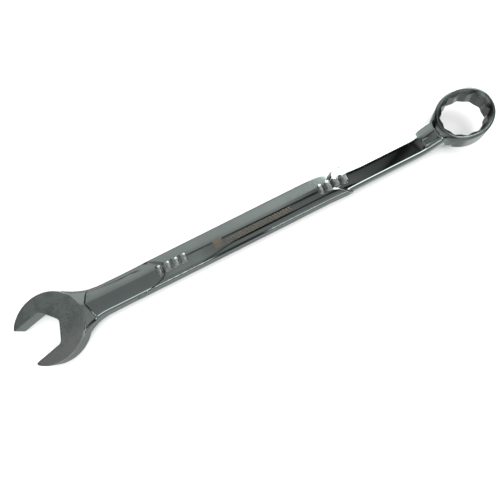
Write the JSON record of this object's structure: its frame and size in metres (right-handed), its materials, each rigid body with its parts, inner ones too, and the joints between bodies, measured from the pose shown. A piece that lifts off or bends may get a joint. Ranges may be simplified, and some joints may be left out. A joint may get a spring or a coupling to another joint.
{
  "type": "combination wrench",
  "caption": "Plated steel combination wrench: open jaw turned off the shank at one end, raised 12-point box end at the other, crowned shank with a thicker grip.",
  "frame": {"origin": "on the surface the wrench lies on, under the middle of its bounding box", "axes": "+X along the shank from the open jaw to the box end, +Z out of the jaw's upper ground face"},
  "size_m": [0.2558, 0.0352, 0.0179],
  "materials": {
    "chrome_plate": "polished"
  },
  "bodies": {
    "root": {"wrench_forging": "chrome_plate"}
  },
  "joints": []
}
